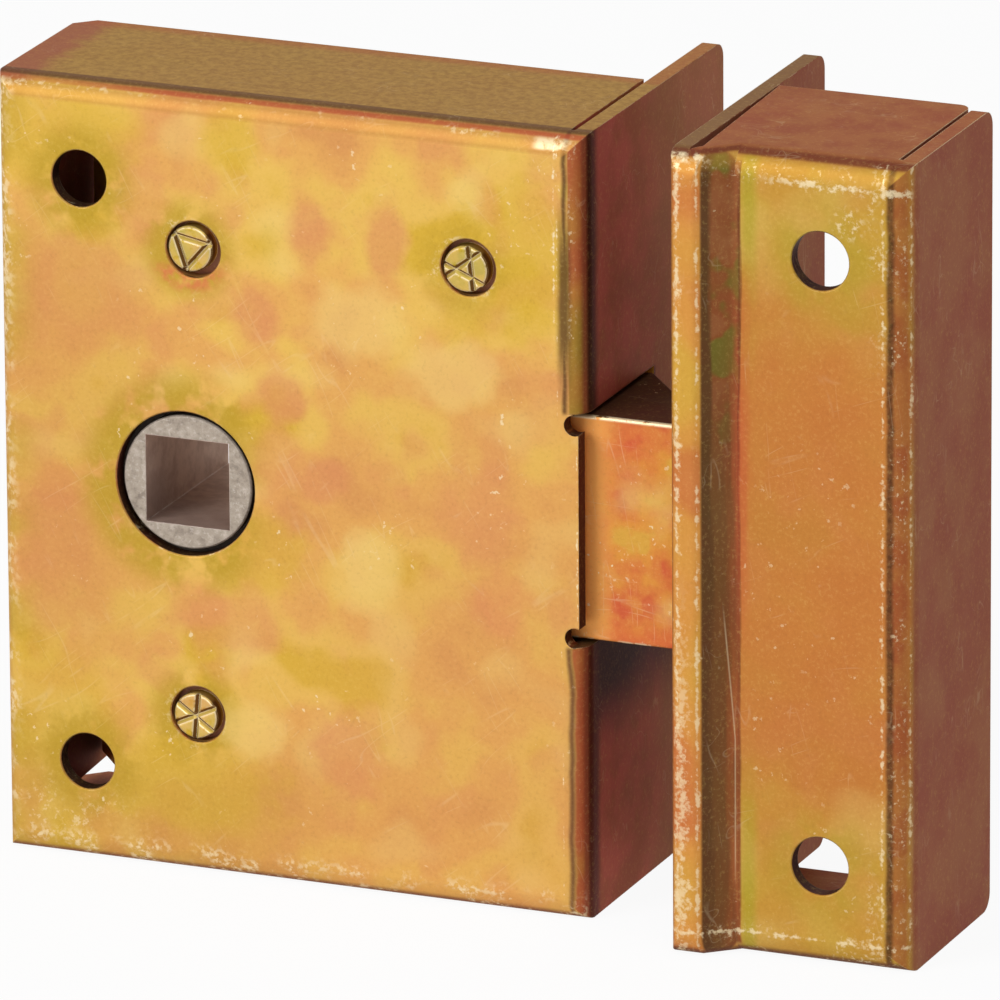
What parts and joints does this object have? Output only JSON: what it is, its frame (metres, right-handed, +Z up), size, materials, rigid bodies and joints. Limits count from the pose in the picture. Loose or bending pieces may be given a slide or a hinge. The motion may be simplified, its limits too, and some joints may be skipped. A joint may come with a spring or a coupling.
{
  "type": "rim latch",
  "caption": "Surface-mounted rim latch: folded sheet case, sprung bevelled latch bolt drawn in by a square-spindle hub, and a matching box keeper for the door frame.",
  "frame": {"origin": "on the surface that the case and the keeper stand on, under the middle of their common box", "axes": "+X from the case towards the keeper, +Y from the visible front to the door and the frame, +Z up along the door's edge"},
  "size_m": [0.0874, 0.0384, 0.0734],
  "materials": {
    "zinc_yellow": "folded steel sheet with yellow iridescent chromated zinc plating, worn bright at edges",
    "latch_plate": "solid steel bolt with orange-yellow chromated zinc plating",
    "pillar_plate": "turned steel with yellow chromated zinc plating, staked end",
    "hub_casting": "plain grey cast hub, lightly rubbed",
    "inner_steel": "plain oiled steel",
    "screw_steel": "zinc plated steel screw",
    "spring_steel": "drawn spring wire"
  },
  "bodies": {
    "case": {"case_shell": "zinc_yellow", "back_cover": "zinc_yellow", "pillar_lower_left": "pillar_plate", "pillar_upper_left": "pillar_plate", "pillar_upper_right": "pillar_plate", "cover_screw_lower_left": "screw_steel", "cover_screw_upper_left": "screw_steel", "cover_screw_upper_right": "screw_steel", "follower_washer": "inner_steel", "spring_bracket": "inner_steel", "bracket_rivet_lower": "inner_steel", "bracket_rivet_upper": "inner_steel", "spring_pin": "inner_steel", "latch_spring": "spring_steel"},
    "latch": {"latch_bolt": "latch_plate", "latch_fork": "inner_steel", "latch_rivet_lower": "inner_steel", "latch_rivet_upper": "inner_steel"},
    "follower": {"follower": "hub_casting"},
    "keeper": {"keeper": "zinc_yellow"}
  },
  "joints": [
    {"name": "follower_turn", "type": "hinge", "parent": "case", "child": "follower", "pos_m": [-0.02575, 0, 0.0362], "axis": [0, -1, 0], "range_deg": [0, 42]},
    {"name": "latch_slide", "type": "slide", "parent": "case", "child": "latch", "axis": [-1, 0, 0], "range_m": [0, 0.01], "stiffness_N_per_m": 300, "springref_m": -0.012, "deforming": ["latch_spring"]},
    {"name": "keeper_away", "type": "slide", "parent": "case", "child": "keeper", "axis": [1, 0, 0], "range_m": [0, 0.03]}
  ],
  "couplings": [
    {"joint": "follower_turn", "follows": "latch_slide", "rad_per_m": 73.304}
  ]
}
